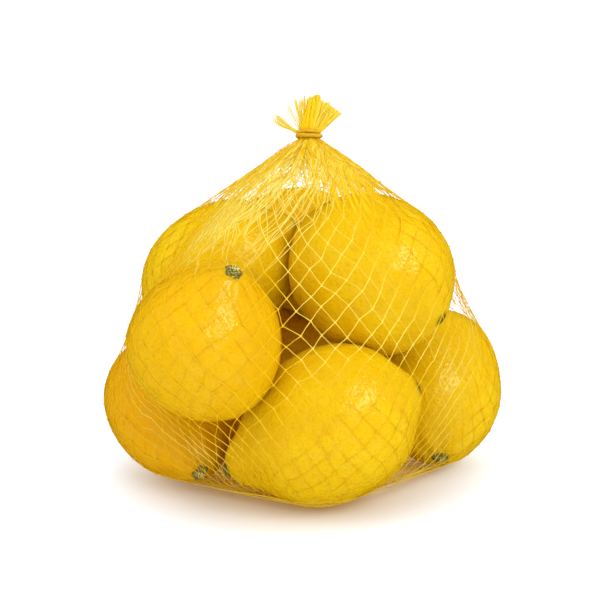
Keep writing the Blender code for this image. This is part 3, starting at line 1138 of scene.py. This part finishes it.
@dataclass
class Tuft:
    """The cut ends of the net above the tie, fanned out in sprays. Lengths are in millimetres."""

    neck: Neck
    seed: int = 21
    stations: int = 14
    waist: float = 1.9
    bundle: float = 3.9
    depth: float = 2.4
    spread: float = 3.2
    wobble: float = 0.28
    flatness: float = 0.6

    SPRAYS = (
        Spray(140, (-3.4, 3.2), (0.5, 14.6), (3.8, 15.9), 0.7, 0.85, 0.3),
        Spray(40, (0.5, 3.4), (3.6, 14.0), (7.6, 12.8), 0.42, 0.45, 0.7),
        Spray(64, (1.0, 3.6), (7.4, 12.6), (13.4, 8.4), 0.40, 0.4, 0.7),
        Spray(34, (1.5, 3.6), (4.0, 10.0), (11.5, 7.4), 0.42, 0.6, 0.6),
        Spray(40, (-3.4, -0.6), (-6.2, 14.0), (0.8, 15.3), 0.14, 0.1, 0.5),
        Spray(2, (-2.7, -2.3), (-2.2, 15.8), (-1.8, 16.0), 0.17, 1.0, 0.1),
        Spray(8, (-3.4, -2.4), (-11.2, 11.4), (-7.6, 13.4), 0.10, 0.2, 0.3),
        Spray(16, (-3.6, -3.0), (-13.8, 7.8), (-12.8, 3.8), 0.14, 0.2, 0.4),
    )
    LOOPS = 5

    def spray(self, spray: Spray, chance: np.random.Generator) -> tuple:
        """Work out one spray's strands.

        A strand goes up from its start inside the tie to its end. Its way across grows with the square of
        the share of its length at first, and then evenly, so that it bends just above the tie.

        Args:
            spray: what to make.
            chance: where the unevenness comes from.

        Returns:
            The paths, half the widths and the shades.
        """
        share = np.linspace(0, 1, self.stations)[None]
        pick = ((np.arange(spray.count) + chance.random(spray.count)) / spray.count)[:, None]
        begin = spray.start[0] + (spray.start[1] - spray.start[0]) * pick
        ends = np.array(spray.first) + (np.array(spray.last) - np.array(spray.first)) * pick
        ends = ends + chance.normal(size=ends.shape) * spray.ragged * 0.6
        room = np.sqrt(np.clip(1 - (begin / self.bundle) ** 2, 0, 1))
        deep = (chance.random((spray.count, 1)) * 2 - 1) * self.depth * room
        away = deep / self.depth * self.spread + chance.normal(size=(spray.count, 1)) * 0.8
        bend = np.clip((share - 0.12) / 0.88, 0, 1) ** 1.15
        waviness = chance.uniform(3, 8, (spray.count, 1))
        wave = np.sin(share * waviness + chance.uniform(0, TAU, (spray.count, 1)))
        x = begin + (ends[:, :1] - begin) * bend + self.wobble * wave * share
        y = deep + (away - deep) * bend + self.wobble * wave[::-1] * share
        z = -self.waist + (ends[:, 1:] + self.waist) * share
        width = spray.half_width * np.interp(share, [0, 0.85, 1], [1, 1, 0.7])
        width = width * (1 + 0.15 * chance.normal(size=(spray.count, self.stations)))
        shade = spray.amber + 0.06 * chance.normal(size=(spray.count, 1)) - 0.3 * (share - 0.4)
        return np.stack([x, y, z], -1), width, shade

    def loops(self, chance: np.random.Generator) -> tuple:
        """Work out the thin loops at the tuft's left.

        A loop goes out along one arm and back along the other: across it is a half turn's cosine.
        """
        turn = np.linspace(-math.pi, math.pi, self.stations)[None]
        size = chance.uniform(0.8, 1.0, (self.LOOPS, 1))
        out = (1 + np.cos(turn)) / 2
        reach = -3.6 - 11.8 * size * out**0.4
        rise = 0.6 + (5.9 + 2.3 * size * np.sin(turn)) * out**0.5
        path = np.stack([reach, chance.normal(size=(self.LOOPS, 1)) * 0.8 + 0 * turn, rise], -1)
        return path, np.full(path.shape[:2], 0.15), np.full(path.shape[:2], 0.2)

    def build(self) -> bpy.types.Object:
        """Make the tuft from its sprays and loops."""
        chance = np.random.default_rng(self.seed)
        made = [self.spray(spray, chance) for spray in self.SPRAYS] + [self.loops(chance)]
        path, width, shade = (np.concatenate(arrays) for arrays in zip(*made))
        path[..., 2] += self.neck.tie_height
        facing = np.array([0.0, -1.0, 0.2]) + 0 * path
        facing[..., 0] = 0.3 * chance.normal(size=(len(path), 1))
        tubes = Tubes.along(self.neck.place(path), facing, width * MM, width * self.flatness * MM)
        return Net.finish(tubes.piece("net_tuft", shade=np.clip(shade, 0, 1)), TUFTED)


@dataclass(frozen=True)
class Tie:
    """Two turns of coated wire round the neck. Lengths are in millimetres."""

    neck: Neck
    wire: float = 0.85
    upper: float = 3.75
    lower: float = 4.5
    rise: float = 0.8
    squash: tuple = (1.08, 0.95, 1.0)
    stations: int = 260
    corners: int = 18

    def build(self) -> bpy.types.Object:
        """Make the tie.

        The wire goes twice round: its distance from the neck's axis goes from the lower turn's to the upper
        one's in a short step at the back, and its height with it. Both ends tuck in behind.

        Returns:
            The dressed piece.
        """
        share = np.linspace(0, 1, self.stations)
        turn = math.pi / 2 + TAU * 2 * share * 0.995
        step = 1 / (1 + np.exp(-(share - 0.5) * 60))
        tuck = np.clip(1 - share / 0.03, 0, 1) + np.clip(1 - (1 - share) / 0.03, 0, 1)
        reach = self.lower + (self.upper - self.lower) * step + 0.12 * np.cos(3 * turn + 1) - 1.2 * tuck
        height = self.rise * (2 * step - 1) + 0.1 * np.sin(2 * turn) - 0.35 * (1 - step) * np.sin(turn) ** 2
        local = circle(reach, turn, self.neck.tie_height + height) * np.array(self.squash)
        path = self.neck.place(local)[None]
        half = self.wire * MM * (1 + 0.03 * np.sin(11 * turn))[None]
        piece = Tubes.along(path, path - self.neck.place(np.zeros(3)), half, half, self.corners).piece("tie")
        WireFinish().dress(piece)
        return stand_for(piece, NECK_TIE)


# ---------------------------------------------------------------------------------------------------------
# Studio
# ---------------------------------------------------------------------------------------------------------


@dataclass(frozen=True)
class Studio:
    """A white floor and surroundings, five soft lights, the brightest at the front right, and the camera."""

    distance: float = 0.653
    elevation: float = 12.0
    target: tuple = (-0.0023, -0.0212, 0.0833)
    focal: float = 94.9
    sensor: float = 36.0
    floor_size: float = 8.0
    white: tuple = (0.66, 0.69, 0.755, 1)
    grey: tuple = (0.65, 0.68, 0.745, 1)
    glow: tuple = (0.84, 0.94, 1.0, 1)
    # The amber is the colour of the painted shadow that the floor's glow turns to near the bag.
    amber: tuple = (0.42, 0.22, 0.03, 1)
    floor_glow: float = 0.48
    painted_shadow_reach: float = 0.035
    glow_reach: float = 0.11
    sky: float = 1.06

    def build_camera(self) -> None:
        """Aim the camera at the bag from the front, a little above it."""
        elevation = math.radians(self.elevation)
        back = Vector((0, -math.cos(elevation), math.sin(elevation)))
        data = bpy.data.cameras.new("camera")
        data.lens = self.focal
        data.sensor_width = self.sensor
        data.clip_start = 0.05
        data.clip_end = 50
        camera = bpy.data.objects.new("camera", data)
        camera.location = Vector(self.target) + back * self.distance
        camera.rotation_euler = back.to_track_quat("Z", "Y").to_euler()
        bpy.context.scene.collection.objects.link(camera)
        bpy.context.scene.camera = camera

    def build_light(self, name: str, place: tuple, size: float, power: float, shines: bool = True) -> None:
        """Hang one square soft light that faces the bag, and that shows as a shine on it or not."""
        data = bpy.data.lights.new(name, "AREA")
        data.size = size
        data.energy = power
        light = bpy.data.objects.new(name, data)
        light.location = place
        light.rotation_euler = (Vector(place) - Vector(self.target)).to_track_quat("Z", "Y").to_euler()
        light.visible_glossy = shines
        bpy.context.scene.collection.objects.link(light)

    def build_floor(self) -> None:
        """Lay the white floor, whose faint glow paints a dim amber shadow near the bag."""
        corners = np.array([[-0.5, -0.5, 0], [0.5, -0.5, 0], [0.5, 0.5, 0], [-0.5, 0.5, 0]])
        floor = new_piece("floor", corners * self.floor_size, np.array([[0, 1, 2, 3]]))
        shader = Shader("white_floor")
        shade = shader.mix(shader.noise(0.5, 1.0) * 0.2, self.white, self.grey)
        # Painted shadow: the glow fades to a dim amber near the bag, a painted warm contact shadow.
        glow = shader.mix(shader.away().ramp(self.painted_shadow_reach, self.glow_reach), self.amber, self.glow)
        shader.dress(floor, {"Base Color": shade, "Roughness": 0.9, "Specular IOR Level": 0.0,
                             "Emission Color": glow, "Emission Strength": self.floor_glow})
        floor.visible_glossy = False

    def build(self) -> None:
        """Make the floor, the lights, the white surroundings and the camera."""
        scene = bpy.context.scene
        scene.view_settings.view_transform = "Standard"
        world = bpy.data.worlds.new("studio")
        world.use_nodes = True
        back = world.node_tree.nodes["Background"]
        back.inputs["Color"].default_value = (1, 1, 1, 1)
        back.inputs["Strength"].default_value = self.sky
        world.cycles.sampling_method = "NONE"
        world.cycles_visibility.glossy = False
        scene.world = world
        self.build_floor()
        self.build_light("key", (0.8, -0.75, 1.0), 0.5, 4.5)
        self.build_light("front", (0.55, -1.15, 0.78), 0.35, 1.6)
        self.build_light("top", (-0.25, -0.35, 1.4), 0.8, 3.6, False)
        self.build_light("fill", (-1.1, -0.9, 0.6), 1.0, 1.3, False)
        self.build_light("back", (0.4, 1.3, 1.0), 1.0, 1.5, False)
        self.build_camera()


def report(piece: bpy.types.Object) -> None:
    """Log a piece's name and how many faces it has."""
    LOG.info("%s: %d faces", piece.name, len(piece.data.polygons))


def main() -> None:
    """Build everything in order."""
    logging.basicConfig(level=logging.INFO, format="%(name)s: %(message)s")
    neck = Neck()
    for lemon in LEMONS:
        report(lemon.build())
    report(StemButtons(LEMONS).build())
    for piece in Net(LEMONS, neck).build():
        report(piece)
    report(Tuft(neck).build())
    report(Tie(neck).build())
    Studio().build()


if __name__ == "__main__":
    main()
